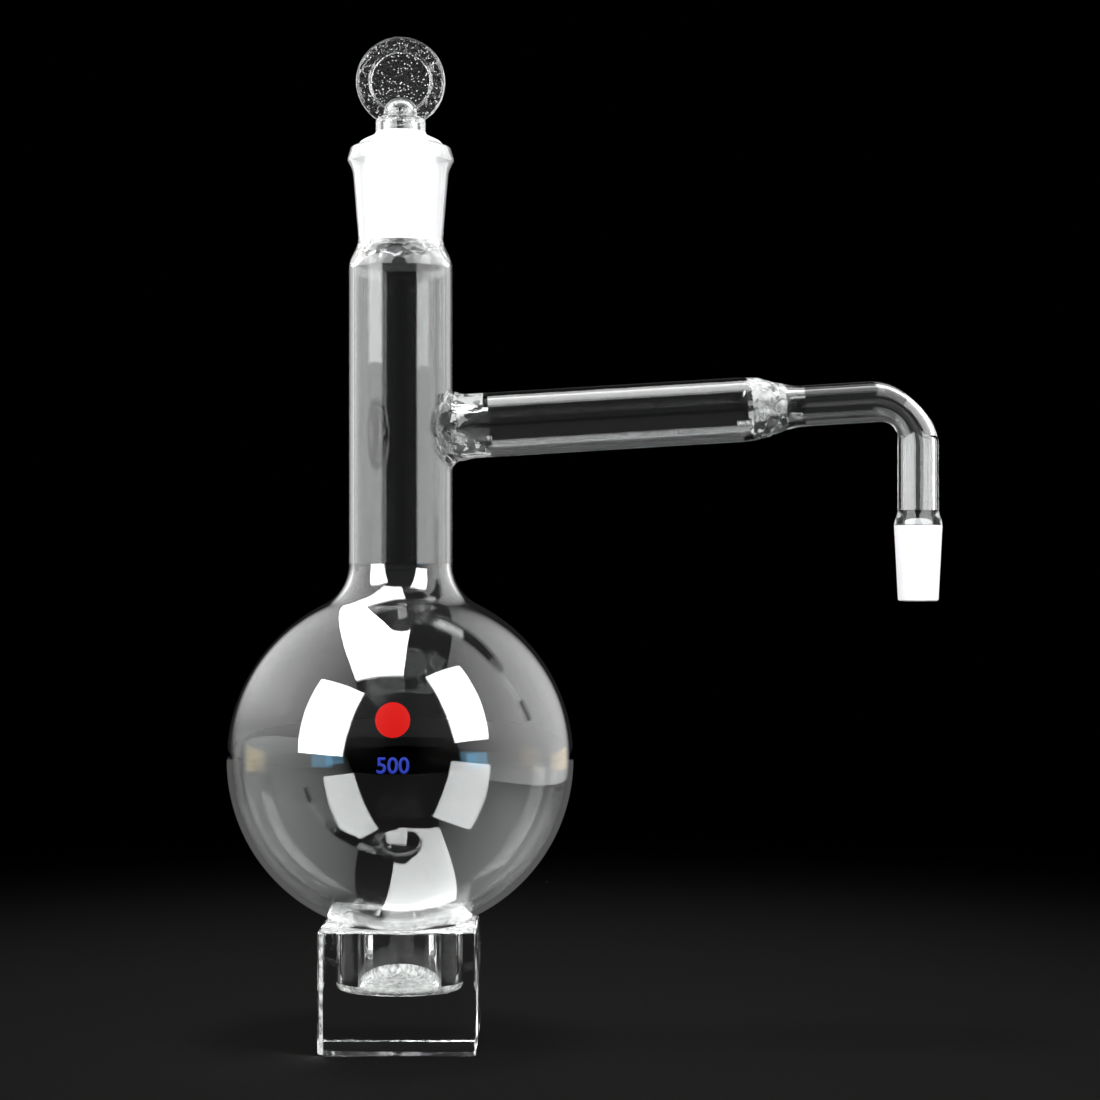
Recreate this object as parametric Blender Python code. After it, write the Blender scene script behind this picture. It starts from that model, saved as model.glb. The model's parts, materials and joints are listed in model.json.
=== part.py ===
"""Side-arm distillation flask, 500 ml, with its ground glass stopper, standing in a clear block.

The flask is built from the pieces that a glassblower fuses: a bulb, a neck tube, a 24/29 ground
socket, a wide side arm, a reducer, a bent delivery tube and a 14/23 ground cone, with the welds
between them. The stopper is a hollow ground plug with a tip, a crown and a flat finger disc.

The neck's axis is the Z axis, the side arm points along +X, and the origin is the centre of the
block's underside. Run it with: blender --background --python part.py
"""

import math

import bmesh
import bpy
from mathutils import Matrix, Vector

MM = 0.001

# Space between neighbouring solids, where the real glass is fused or rests on its neighbour.
GAP = 0.3 * MM

# Clear block that the bulb rests in.
BLOCK_SIDE = 47.0 * MM
BLOCK_HEIGHT = 36.6 * MM
BLOCK_BEVEL = 0.8 * MM
RECESS_RADIUS = 18.5 * MM
RECESS_DEPTH = 19.5 * MM
RECESS_RIM_CHAMFER = 0.4 * MM
RECESS_CORNER_RADIUS = 2.5 * MM

# Bulb and neck.
BULB_RADIUS = 52.5 * MM
NECK_RADIUS = 15.75 * MM
NECK_WALL = 1.6 * MM
SHOULDER_FILLET = 14.0 * MM
LIP_ABOVE_BULB_CENTRE = 186.0 * MM

# Ground joints have a taper of 1 in 10 on the diameter.
TAPER = 0.05
SOCKET_TOP_RADIUS = 12.0 * MM
SOCKET_GROUND_LENGTH = 29.0 * MM
SOCKET_SHOULDER_HEIGHT = 7.8 * MM
SOCKET_BASE_OUTER_RADIUS = 12.85 * MM
SOCKET_BASE_ABOVE_GROUND_END = 1.3 * MM
SOCKET_FLARE_RADIUS = 14.45 * MM
SOCKET_FLARE_BELOW_LIP = 8.2 * MM
LIP_RADIUS = 16.15 * MM
LIP_BEAD_RADIUS = 1.7 * MM
LIP_BEAD_BELOW_LIP = 3.8 * MM
LIP_EDGE_RADIUS = 15.3 * MM
LIP_EDGE_ROUNDING = 0.9 * MM
MOUTH_CHAMFER = 0.6 * MM

# Side arm: a wide tube that rises a little as it leaves the neck.
ARM_ABOVE_BULB_CENTRE = 100.0 * MM
ARM_RISE = math.radians(3.46)
ARM_RADIUS = 9.8 * MM
ARM_WALL = 1.5 * MM
ARM_WELD_RADIUS = 11.8 * MM
ARM_WELD_END = 27.0 * MM
ARM_SHOULDER_START = 104.0 * MM
ARM_SHOULDER_END = 123.0 * MM
REDUCER_THICKENING = 4.0 * MM

# Bent delivery tube and its ground cone.
DELIVERY_RADIUS = 6.2 * MM
DELIVERY_WALL = 1.5 * MM
DELIVERY_REACH = 157.4 * MM
BEND_RADIUS = 13.5 * MM
CONE_TOP_RADIUS = 7.3 * MM
CONE_GROUND_LENGTH = 23.0 * MM
CONE_FLARE_HEIGHT = 4.6 * MM
CONE_END_BELOW_ARM_AXIS = 61.4 * MM
CONE_BORE_RADIUS = 4.5 * MM
CONE_END_ROUNDING = 0.3 * MM

# Stopper.
PLUG_WALL = 1.6 * MM
PLUG_PROUD_OF_LIP = 0.6 * MM
PLUG_TIP_DEPTH = 3.2 * MM
CROWN_FOOT_RADIUS = 12.6 * MM
CROWN_HEIGHT = 3.6 * MM
CROWN_NECK_RADIUS = 7.6 * MM
CROWN_NECK_HEIGHT = 4.5 * MM
CROWN_NECK_CHAMFER = 0.8 * MM
CROWN_BOSS_RADIUS = 5.6 * MM
CROWN_BOSS_RISE = 0.6 * MM
CROWN_WALL = 1.6 * MM
DISC_RADIUS = 13.5 * MM
DISC_RIM_WIDTH = 4.2 * MM
DISC_RIM_THICKNESS = 5.0 * MM
DISC_RIM_ROUNDING = 1.2 * MM
DISC_STEP_WIDTH = 0.9 * MM
DISC_WEB_THICKNESS = 2.8 * MM
DISC_CENTRE_ABOVE_LIP = 19.9 * MM

# Segments round each kind of piece.
BULB_SEGMENTS = 40
NECK_SEGMENTS = 32
ARM_SEGMENTS = 24
DELIVERY_SEGMENTS = 20
BEND_STEPS = 10
SHARP_ANGLE = math.radians(35)

# Heights worked out from the dimensions above.
SEAT_HEIGHT = math.sqrt(BULB_RADIUS**2 - RECESS_RADIUS**2)
BULB_CENTRE_Z = BLOCK_HEIGHT + SEAT_HEIGHT + GAP
LIP_Z = BULB_CENTRE_Z + LIP_ABOVE_BULB_CENTRE
SOCKET_BASE_Z = LIP_Z - SOCKET_GROUND_LENGTH
NECK_TOP_Z = SOCKET_BASE_Z - SOCKET_SHOULDER_HEIGHT
FILLET_CENTRE_R = NECK_RADIUS + SHOULDER_FILLET
FILLET_CENTRE_Z = BULB_CENTRE_Z + math.sqrt(
    (BULB_RADIUS + SHOULDER_FILLET) ** 2 - FILLET_CENTRE_R**2
)
ARM_Z = BULB_CENTRE_Z + ARM_ABOVE_BULB_CENTRE
ARM_BORE = ARM_RADIUS - ARM_WALL
DELIVERY_BORE = DELIVERY_RADIUS - DELIVERY_WALL
BEND_ANGLE = math.pi / 2 + ARM_RISE
BEND_TANGENT = BEND_RADIUS * math.tan(BEND_ANGLE / 2)
CORNER_Z = ARM_Z + DELIVERY_REACH * math.tan(ARM_RISE)
CONE_END_Z = ARM_Z - CONE_END_BELOW_ARM_AXIS + DELIVERY_REACH * math.tan(ARM_RISE)
CONE_TOP_Z = CONE_END_Z + CONE_GROUND_LENGTH


def clear_scene():
    for obj in list(bpy.data.objects):
        bpy.data.objects.remove(obj)


def make_material(name, colour, roughness, transmission):
    material = bpy.data.materials.new(name)
    material.use_nodes = True
    shader = material.node_tree.nodes["Principled BSDF"]
    shader.inputs["Base Color"].default_value = (*colour, 1.0)
    shader.inputs["Roughness"].default_value = roughness
    shader.inputs["Metallic"].default_value = 0.0
    shader.inputs["Transmission Weight"].default_value = transmission
    shader.inputs["IOR"].default_value = 1.474
    return material


def make_empty(name, parent=None):
    empty = bpy.data.objects.new(name, None)
    bpy.context.scene.collection.objects.link(empty)
    empty.parent = parent
    return empty


def add_object(name, bm, material=None, parent=None):
    bmesh.ops.recalc_face_normals(bm, faces=bm.faces)
    mesh = bpy.data.meshes.new(name)
    bm.to_mesh(mesh)
    bm.free()
    mesh.shade_smooth()
    mesh.set_sharp_from_angle(angle=SHARP_ANGLE)
    obj = bpy.data.objects.new(name, mesh)
    bpy.context.scene.collection.objects.link(obj)
    obj.parent = parent
    if material:
        mesh.materials.append(material)
    return obj


def cut(obj, cutter):
    """Takes cutter away from obj. The cutter stays as a wire guide that isn't part of the object."""
    cutter.hide_render = True
    cutter.display_type = "WIRE"
    modifier = obj.modifiers.new("Cut " + cutter.name, "BOOLEAN")
    modifier.operation = "DIFFERENCE"
    modifier.solver = "EXACT"
    modifier.object = cutter


def arc(centre, radius, start, end, steps):
    """Points of an arc in (r, z). Angles are in degrees from the +r direction."""
    turns = [math.radians(start + (end - start) * i / steps) for i in range(steps + 1)]
    return [(centre[0] + radius * math.cos(a), centre[1] + radius * math.sin(a)) for a in turns]


def ease(start, end, steps):
    """Points of an S-shaped shoulder from start to end, level with the axis at both ends."""
    shares = [i / steps for i in range(steps + 1)]
    return [
        (
            start[0] + (end[0] - start[0]) * (1 - math.cos(math.pi * t)) / 2,
            start[1] + (end[1] - start[1]) * t,
        )
        for t in shares
    ]


def turned_mesh(outline, segments):
    """A solid of revolution about Z. The outline is closed, unless both its ends are on the axis."""
    bm = bmesh.new()
    verts = [bm.verts.new((r, 0, z)) for r, z in outline]
    edges = [bm.edges.new(pair) for pair in zip(verts, verts[1:])]
    if outline[0][0] > 0:
        edges.append(bm.edges.new((verts[-1], verts[0])))
    bmesh.ops.spin(
        bm,
        geom=verts + edges,
        axis=(0, 0, 1),
        angle=2 * math.pi,
        steps=segments,
        use_merge=True,
    )
    bmesh.ops.remove_doubles(bm, verts=bm.verts, dist=0.001 * MM)
    return bm


def along_arm(obj):
    """Turns a piece made along Z so that it lies along the side arm, starting at the neck's axis."""
    obj.location = (0, 0, ARM_Z)
    obj.rotation_euler = (0, math.pi / 2 - ARM_RISE, 0)
    return obj


def socket_radius(z):
    """Inner radius of the ground socket at height z."""
    return SOCKET_TOP_RADIUS - TAPER * (LIP_Z - z)


def make_block(material, parent):
    bm = bmesh.new()
    bmesh.ops.create_cube(bm, size=1.0)
    bmesh.ops.scale(bm, vec=(BLOCK_SIDE, BLOCK_SIDE, BLOCK_HEIGHT), verts=bm.verts)
    bmesh.ops.bevel(bm, geom=bm.edges[:], offset=BLOCK_BEVEL, segments=1, affect="EDGES")
    bmesh.ops.translate(bm, vec=(0, 0, BLOCK_HEIGHT / 2), verts=bm.verts)
    block = add_object("stand_block", bm, material, parent)

    clear = 2 * MM
    floor_z = BLOCK_HEIGHT - RECESS_DEPTH
    rim_r = RECESS_RADIUS + RECESS_RIM_CHAMFER
    corner_r = RECESS_RADIUS - RECESS_CORNER_RADIUS
    outline = [
        (0, BLOCK_HEIGHT + clear),
        (rim_r, BLOCK_HEIGHT + clear),
        (rim_r, BLOCK_HEIGHT),
        (RECESS_RADIUS, BLOCK_HEIGHT - RECESS_RIM_CHAMFER),
    ]
    outline += arc((corner_r, floor_z + RECESS_CORNER_RADIUS), RECESS_CORNER_RADIUS, 0, -90, 4)
    outline.append((0, floor_z))
    cut(block, add_object("recess_cutter", turned_mesh(outline, BULB_SEGMENTS)))


def bulb_skin(inset, lower_steps, upper_steps, fillet_steps):
    """The bulb's surface from its lowest point to the top of the neck fillet, moved in by inset."""
    lean = math.degrees(math.atan2(FILLET_CENTRE_R, FILLET_CENTRE_Z - BULB_CENTRE_Z))
    centre = (0, BULB_CENTRE_Z)
    fillet_centre = (FILLET_CENTRE_R, FILLET_CENTRE_Z)
    lower = arc(centre, BULB_RADIUS - inset, -90, 0, lower_steps)
    upper = arc(centre, BULB_RADIUS - inset, 0, 90 - lean, upper_steps)
    fillet = arc(fillet_centre, SHOULDER_FILLET + inset, 270 - lean, 180, fillet_steps)
    lower[0] = (0, lower[0][1])
    return lower + upper[1:] + fillet[1:]


def make_bulb(material, parent):
    outer = bulb_skin(0, lower_steps=11, upper_steps=8, fillet_steps=4)
    inner = bulb_skin(NECK_WALL, lower_steps=10, upper_steps=7, fillet_steps=4)
    bm = turned_mesh(outer + inner[::-1], BULB_SEGMENTS)
    add_object("bulb", bm, material, parent)


def make_neck(material, parent):
    bottom = FILLET_CENTRE_Z + GAP
    bore = NECK_RADIUS - NECK_WALL
    outline = [(NECK_RADIUS, bottom), (NECK_RADIUS, NECK_TOP_Z), (bore, NECK_TOP_Z), (bore, bottom)]
    neck = add_object("neck_tube", turned_mesh(outline, NECK_SEGMENTS), material, parent)

    start, end = 0.5 * NECK_RADIUS, 1.5 * NECK_RADIUS
    outline = [(0, start), (ARM_BORE, start), (ARM_BORE, end), (0, end)]
    hole = add_object("side_arm_hole_cutter", turned_mesh(outline, ARM_SEGMENTS))
    cut(neck, along_arm(hole))


def make_socket(material, parent):
    bottom = NECK_TOP_Z + GAP
    shoulder_top = SOCKET_BASE_Z + SOCKET_BASE_ABOVE_GROUND_END
    bead_centre = (LIP_RADIUS - LIP_BEAD_RADIUS, LIP_Z - LIP_BEAD_BELOW_LIP)
    edge_centre = (LIP_EDGE_RADIUS - LIP_EDGE_ROUNDING, LIP_Z - LIP_EDGE_ROUNDING)
    outer = ease((NECK_RADIUS, bottom), (SOCKET_BASE_OUTER_RADIUS, shoulder_top), 6)
    outer.append((SOCKET_FLARE_RADIUS, LIP_Z - SOCKET_FLARE_BELOW_LIP))
    outer += arc(bead_centre, LIP_BEAD_RADIUS, -45, 25, 4)
    outer += arc(edge_centre, LIP_EDGE_ROUNDING, 20, 90, 3)
    inner = [
        (SOCKET_TOP_RADIUS + MOUTH_CHAMFER, LIP_Z),
        (socket_radius(LIP_Z - MOUTH_CHAMFER), LIP_Z - MOUTH_CHAMFER),
    ]
    inner += ease(
        (socket_radius(SOCKET_BASE_Z), SOCKET_BASE_Z), (NECK_RADIUS - NECK_WALL, bottom), 6
    )
    add_object("neck_socket", turned_mesh(outer + inner, NECK_SEGMENTS), material, parent)


def make_arm_weld(material, parent):
    """The flared weld round the foot of the side arm, cut to sit on the neck."""
    start = 0.5 * NECK_RADIUS
    flare_start = NECK_RADIUS + GAP
    outline = [(ARM_BORE, start), (ARM_WELD_RADIUS, start)]
    outline += ease((ARM_WELD_RADIUS, flare_start), (ARM_RADIUS, ARM_WELD_END), 6)
    outline.append((ARM_BORE, ARM_WELD_END))
    weld = add_object("side_arm_weld", turned_mesh(outline, ARM_SEGMENTS), material, parent)
    along_arm(weld)

    half_height = 2 * ARM_WELD_RADIUS
    radius = NECK_RADIUS + GAP
    outline = [
        (0, ARM_Z - half_height),
        (radius, ARM_Z - half_height),
        (radius, ARM_Z + half_height),
        (0, ARM_Z + half_height),
    ]
    cut(weld, add_object("neck_clearance_cutter", turned_mesh(outline, NECK_SEGMENTS)))


def make_arm(material, parent):
    start, end = ARM_WELD_END + GAP, ARM_SHOULDER_START
    outline = [(ARM_RADIUS, start), (ARM_RADIUS, end), (ARM_BORE, end), (ARM_BORE, start)]
    along_arm(add_object("side_arm_tube", turned_mesh(outline, ARM_SEGMENTS), material, parent))


def make_reducer(material, parent):
    """The shoulder that the wide side arm is drawn down to, welded to the delivery tube."""
    start, end = ARM_SHOULDER_START + GAP, ARM_SHOULDER_END
    outer = ease((ARM_RADIUS, start), (DELIVERY_RADIUS, end), 8)
    inner = [(DELIVERY_BORE, end)]
    inner += ease((DELIVERY_BORE, end - REDUCER_THICKENING), (ARM_BORE, start), 8)
    along_arm(add_object("reducer_weld", turned_mesh(outer + inner, ARM_SEGMENTS), material, parent))


def only(kind, geometry):
    return [item for item in geometry if isinstance(item, kind)]


def with_edges(faces):
    return faces + list({edge for face in faces for edge in face.edges})


def extrude(bm, faces, vector):
    """Extrudes the faces along vector, and returns the faces at the new end."""
    made = bmesh.ops.extrude_face_region(bm, geom=with_edges(faces))["geom"]
    bmesh.ops.translate(bm, vec=vector, verts=only(bmesh.types.BMVert, made))
    return only(bmesh.types.BMFace, made)


def make_delivery_tube(material, parent):
    """A ring extruded along the side arm's line, spun round the bend and extruded straight down."""
    start = ARM_SHOULDER_END + GAP
    bend_start = DELIVERY_REACH / math.cos(ARM_RISE) - BEND_TANGENT
    drop = CORNER_Z - BEND_TANGENT - (CONE_TOP_Z + CONE_FLARE_HEIGHT + GAP)
    direction = Vector((math.cos(ARM_RISE), 0, math.sin(ARM_RISE)))
    upward = Vector((-math.sin(ARM_RISE), 0, math.cos(ARM_RISE)))
    foot = Vector((0, 0, ARM_Z)) + start * direction
    frame = Matrix.Translation(foot) @ direction.to_track_quat("Z", "Y").to_matrix().to_4x4()

    bm = bmesh.new()
    for radius in (DELIVERY_RADIUS, DELIVERY_BORE):
        bmesh.ops.create_circle(bm, segments=DELIVERY_SEGMENTS, radius=radius, matrix=frame)
    faces = bmesh.ops.bridge_loops(bm, edges=bm.edges[:])["faces"]
    faces = extrude(bm, faces, (bend_start - start) * direction)
    centre = Vector((0, 0, ARM_Z)) + bend_start * direction - BEND_RADIUS * upward
    bend = bmesh.ops.spin(
        bm,
        geom=with_edges(faces),
        cent=centre,
        axis=(0, 1, 0),
        angle=BEND_ANGLE,
        steps=BEND_STEPS,
    )
    extrude(bm, only(bmesh.types.BMFace, bend["geom_last"]), Vector((0, 0, -drop)))
    add_object("delivery_tube", bm, material, parent)


def make_outlet_cone(material, parent):
    flare_top = CONE_TOP_Z + CONE_FLARE_HEIGHT
    end_radius = CONE_TOP_RADIUS - TAPER * CONE_GROUND_LENGTH
    outline = ease((DELIVERY_RADIUS, flare_top), (CONE_TOP_RADIUS, CONE_TOP_Z), 5)
    outline += [
        (end_radius, CONE_END_Z + CONE_END_ROUNDING),
        (end_radius - CONE_END_ROUNDING, CONE_END_Z),
        (CONE_BORE_RADIUS, CONE_END_Z),
        (DELIVERY_BORE, flare_top),
    ]
    cone = add_object("outlet_cone", turned_mesh(outline, DELIVERY_SEGMENTS), material, parent)
    cone.location = (DELIVERY_REACH, 0, 0)


def plug_radius(z):
    """Outer radius of the ground plug at height z."""
    return socket_radius(z) - GAP


def make_plug(material, parent):
    top, bottom = LIP_Z + PLUG_PROUD_OF_LIP, SOCKET_BASE_Z + GAP
    outline = [
        (plug_radius(bottom), bottom),
        (plug_radius(top), top),
        (plug_radius(top) - PLUG_WALL, top),
        (plug_radius(bottom) - PLUG_WALL, bottom),
    ]
    add_object("stopper_plug", turned_mesh(outline, NECK_SEGMENTS), material, parent)


def make_plug_tip(material, parent):
    """The dished end that closes the hollow plug."""
    top = SOCKET_BASE_Z
    radius = plug_radius(top)
    outer, inner = [
        [
            (reach * math.sin(math.radians(a)), top - depth * math.cos(math.radians(a)))
            for a in range(0, 91, 18)
        ]
        for reach, depth in (
            (radius, PLUG_TIP_DEPTH),
            (radius - PLUG_WALL, PLUG_TIP_DEPTH - PLUG_WALL),
        )
    ]
    add_object("stopper_tip", turned_mesh(outer + inner[::-1], NECK_SEGMENTS), material, parent)


def crown_skin(offset):
    """The crown's surface from its foot to the top of its domed boss, moved out by offset."""
    foot = LIP_Z + PLUG_PROUD_OF_LIP + GAP
    neck_z = foot + CROWN_HEIGHT
    boss_z = neck_z + CROWN_NECK_HEIGHT
    dome_z = boss_z + CROWN_BOSS_RISE
    boss_r = CROWN_BOSS_RADIUS + offset
    points = [
        (CROWN_FOOT_RADIUS + offset, foot),
        (CROWN_NECK_RADIUS + offset, neck_z),
        (CROWN_NECK_RADIUS + offset, boss_z + offset - CROWN_NECK_CHAMFER),
        (CROWN_NECK_RADIUS + offset - CROWN_NECK_CHAMFER, boss_z + offset),
        (boss_r, boss_z + offset),
    ]
    dome = arc((0, dome_z), boss_r, 0, 90, 5)
    dome[-1] = (0, dome_z + boss_r)
    return points + dome


def make_crown(material, parent):
    outer = crown_skin(0)
    inner = crown_skin(-CROWN_WALL)
    bm = turned_mesh(outer[::-1] + inner, NECK_SEGMENTS)
    add_object("stopper_crown", bm, material, parent)


def make_disc(material, parent):
    """The flat finger disc: a raised rim round a thinner web, cut to sit on the crown's boss."""
    rim_half, web_half = DISC_RIM_THICKNESS / 2, DISC_WEB_THICKNESS / 2
    web_radius = DISC_RADIUS - DISC_RIM_WIDTH
    rim_centre = (DISC_RADIUS - DISC_RIM_ROUNDING, rim_half - DISC_RIM_ROUNDING)
    face = [(0, web_half), (web_radius - DISC_STEP_WIDTH / 2, web_half)]
    face.append((web_radius + DISC_STEP_WIDTH / 2, rim_half))
    face += arc(rim_centre, DISC_RIM_ROUNDING, 90, 0, 4)
    outline = face + [(r, -z) for r, z in reversed(face)]
    disc = add_object("stopper_disc", turned_mesh(outline, NECK_SEGMENTS), material, parent)
    disc.location = (0, 0, LIP_Z + DISC_CENTRE_ABOVE_LIP)
    disc.rotation_euler = (math.pi / 2, 0, 0)

    skin = crown_skin(GAP)
    foot = skin[0][1]
    below = [(0, foot - GAP), (skin[0][0], foot - GAP)]
    cut(disc, add_object("crown_clearance_cutter", turned_mesh(below + skin, NECK_SEGMENTS)))


def main():
    clear_scene()
    clear_glass = make_material("clear_glass", (0.95, 0.97, 0.97), 0.02, 1.0)
    ground_glass = make_material("ground_glass", (0.93, 0.94, 0.95), 0.5, 0.6)
    acrylic = make_material("acrylic", (0.94, 0.96, 0.95), 0.03, 1.0)

    stand = make_empty("stand")
    flask = make_empty("flask", stand)
    stopper = make_empty("stopper", flask)

    make_block(acrylic, stand)
    make_bulb(clear_glass, flask)
    make_neck(clear_glass, flask)
    make_socket(ground_glass, flask)
    make_arm_weld(clear_glass, flask)
    make_arm(clear_glass, flask)
    make_reducer(clear_glass, flask)
    make_delivery_tube(clear_glass, flask)
    make_outlet_cone(ground_glass, flask)
    make_plug(ground_glass, stopper)
    make_plug_tip(clear_glass, stopper)
    make_crown(clear_glass, stopper)
    make_disc(clear_glass, stopper)


main()
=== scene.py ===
"""Looks for the side-arm distillation flask: clear and ground glass, acrylic, print, light and camera.

The flask's glass is made again here as finely shaped walls that meet without a gap, so that light
runs through them as through one fused piece. Sizes that the frame gives are read from its boxes.
"""

import json
import math

import bmesh
import bpy
from mathutils import Matrix, Vector, noise

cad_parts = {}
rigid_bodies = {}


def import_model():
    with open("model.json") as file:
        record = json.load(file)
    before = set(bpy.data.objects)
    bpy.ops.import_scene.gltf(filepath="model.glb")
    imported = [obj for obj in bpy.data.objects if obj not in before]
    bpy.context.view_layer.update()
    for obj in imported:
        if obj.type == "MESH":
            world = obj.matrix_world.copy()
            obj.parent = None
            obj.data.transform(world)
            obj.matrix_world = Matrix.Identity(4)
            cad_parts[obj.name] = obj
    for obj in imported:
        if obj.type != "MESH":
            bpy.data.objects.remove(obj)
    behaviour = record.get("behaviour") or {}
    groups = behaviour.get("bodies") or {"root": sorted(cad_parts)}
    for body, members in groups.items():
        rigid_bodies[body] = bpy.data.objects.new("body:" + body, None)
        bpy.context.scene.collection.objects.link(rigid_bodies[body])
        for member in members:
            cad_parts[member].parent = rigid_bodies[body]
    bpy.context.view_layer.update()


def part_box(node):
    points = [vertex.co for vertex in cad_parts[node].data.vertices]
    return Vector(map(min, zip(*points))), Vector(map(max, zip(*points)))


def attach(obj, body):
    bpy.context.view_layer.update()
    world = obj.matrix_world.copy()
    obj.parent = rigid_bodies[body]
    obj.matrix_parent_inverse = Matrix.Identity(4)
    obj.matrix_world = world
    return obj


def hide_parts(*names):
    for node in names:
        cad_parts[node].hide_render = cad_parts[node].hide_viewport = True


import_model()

MM = 0.001

# ---------------------------------------------------------------- sizes from the frame

bulb_low, bulb_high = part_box("bulb")
neck_low, neck_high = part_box("neck_tube")
socket_low, socket_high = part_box("neck_socket")
cone_low, cone_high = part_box("outlet_cone")
crown_low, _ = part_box("stopper_crown")
disc_low, disc_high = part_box("stopper_disc")
block_low, block_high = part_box("stand_block")

BULB_RADIUS = (bulb_high[0] - bulb_low[0]) / 2
BULB_Z = bulb_low[2] + BULB_RADIUS
NECK_RADIUS = (neck_high[0] - neck_low[0]) / 2
NECK_TOP_Z = neck_high[2]
LIP_Z = socket_high[2]
LIP_RADIUS = (socket_high[0] - socket_low[0]) / 2
CONE_END_Z = cone_low[2]
CONE_FLARE_Z = cone_high[2]
DELIVERY_X = (cone_low[0] + cone_high[0]) / 2
CONE_RADIUS = (cone_high[0] - cone_low[0]) / 2
BLOCK_SIDE = block_high[0] - block_low[0]
BLOCK_HEIGHT = block_high[2]
CROWN_FOOT_Z = crown_low[2]
DISC_THICKNESS = disc_high[1] - disc_low[1]
DISC_RADIUS = (disc_high[0] - disc_low[0]) / 2
DISC_Z = disc_high[2] - DISC_RADIUS

# ---------------------------------------------------------------- sizes inside those boxes

NECK_WALL = 1.6 * MM
SHOULDER_FILLET = 14 * MM
ARM_Z = BULB_Z + 100 * MM
ARM_RISE = math.radians(3.46)
ARM_RADIUS = 9.8 * MM
ARM_WALL = 1.5 * MM
ARM_WELD_END = 27 * MM
ARM_SHOULDER = 104 * MM
ARM_SHOULDER_END = 123 * MM
REDUCER_THICKENING = 4 * MM
DELIVERY_RADIUS = 6.2 * MM
DELIVERY_BORE = 4.7 * MM
BEND_RADIUS = 13.5 * MM
BEND_FLATTENING = 0.18
CONE_LENGTH = 23 * MM
CONE_BORE = 4.5 * MM
TAPER = 0.05
GROUND_LENGTH = 29 * MM
SOCKET_TOP_RADIUS = 12 * MM
SOCKET_BASE_RADIUS = 12.85 * MM
SOCKET_FLARE_RADIUS = 14.45 * MM
SOCKET_FLARE_DROP = 8.2 * MM
SOCKET_STEP = 1.3 * MM
SOCKET_STEP_OUT = 0.3 * MM
MOUTH_CHAMFER = 0.6 * MM
LIP_BEAD = 1.7 * MM
LIP_BEAD_DROP = 3.8 * MM
LIP_EDGE_RADIUS = 15.3 * MM
LIP_EDGE_ROUNDING = 0.9 * MM
CONE_END_ROUNDING = 0.6 * MM
CONE_BORE_CHAMFER = 0.3 * MM
PLUG_GAP = 0.06 * MM
PLUG_WALL = 1.6 * MM
PLUG_TIP_DEPTH = 3.2 * MM
PLUG_PROUD = 0.6 * MM
CROWN_WALL = 1.6 * MM
CROWN_FOOT_RADIUS = 12.6 * MM
CROWN_HEIGHT = 3.6 * MM
CROWN_NECK_RADIUS = 7.6 * MM
CROWN_NECK_HEIGHT = 4.5 * MM
CROWN_NECK_ROUNDING = 1.4 * MM
CROWN_BOSS_RADIUS = 5.6 * MM
CROWN_BOSS_RISE = 0.6 * MM
DISC_WEB_THICKNESS = 2.8 * MM
DISC_RIM_WIDTH = 4.2 * MM
DISC_RIM_STEP = 0.9 * MM
DISC_RIM_ROUNDING = 1.2 * MM
BLOCK_BEVEL = 0.8 * MM
BROKEN_EDGE = 2.4 * MM
RECESS_RIM = 0.4 * MM
RECESS_RADIUS = 18.5 * MM
RECESS_FLOOR_Z = 17.1 * MM
RECESS_CORNER = 2.5 * MM

NECK_COUNT = 128
ARM_COUNT = 80
DISC_COUNT = 260
RECESS_COUNT = 144
SHARP_ANGLE = math.radians(35)
BLOCK_SHARP_ANGLE = math.radians(20)
ACROSS = Vector((0, 1, 0))

SOCKET_BASE_Z = LIP_Z - GROUND_LENGTH

# ---------------------------------------------------------------- materials

GLASS_IOR = 1.474
ACRYLIC_IOR = 1.49


def new_material(name):
    """A material with its node tree and its shader."""
    material = bpy.data.materials.new(name)
    material.use_nodes = True
    tree = material.node_tree
    return material, tree, tree.nodes["Principled BSDF"]


def add_node(tree, kind, **values):
    """Adds a node, and sets the inputs or the properties that are named."""
    node = tree.nodes.new(kind)
    for name, value in values.items():
        if name in node.inputs:
            node.inputs[name].default_value = value
        else:
            setattr(node, name, value)
    return node


def noise_bump(tree, shader, scale, strength, distance, detail=3.0):
    """Small relief on a surface, from noise in the object's own space."""
    place = add_node(tree, "ShaderNodeTexCoord")
    grain = add_node(tree, "ShaderNodeTexNoise", Scale=scale, Detail=detail)
    bump = add_node(tree, "ShaderNodeBump", Strength=strength, Distance=distance)
    tree.links.new(place.outputs["Object"], grain.inputs["Vector"])
    tree.links.new(grain.outputs["Fac"], bump.inputs["Height"])
    tree.links.new(bump.outputs["Normal"], shader.inputs["Normal"])
    return grain


def let_lamps_through(tree, shader, share):
    """Lamps shine through the surface, so that what is behind or under it is lit."""
    output = tree.nodes["Material Output"]
    path = add_node(tree, "ShaderNodeLightPath")
    clear = add_node(tree, "ShaderNodeBsdfTransparent", Color=(share, share, share, 1))
    mix = add_node(tree, "ShaderNodeMixShader")
    tree.links.new(path.outputs["Is Shadow Ray"], mix.inputs["Fac"])
    tree.links.new(shader.outputs["BSDF"], mix.inputs[1])
    tree.links.new(clear.outputs["BSDF"], mix.inputs[2])
    tree.links.new(mix.outputs["Shader"], output.inputs["Surface"])


def clear_glass(name, wave_scale=60, wave_height=0.02 * MM, roughness=0.0):
    """Clear, slightly grey glass with shallow waves."""
    material, tree, shader = new_material(name)
    shader.inputs["Base Color"].default_value = (0.88, 0.89, 0.89, 1)
    shader.inputs["Roughness"].default_value = roughness
    shader.inputs["IOR"].default_value = GLASS_IOR
    shader.inputs["Transmission Weight"].default_value = 1.0
    noise_bump(tree, shader, wave_scale, 1.0, wave_height, detail=2.0)
    let_lamps_through(tree, shader, 0.95)
    return material


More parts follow.
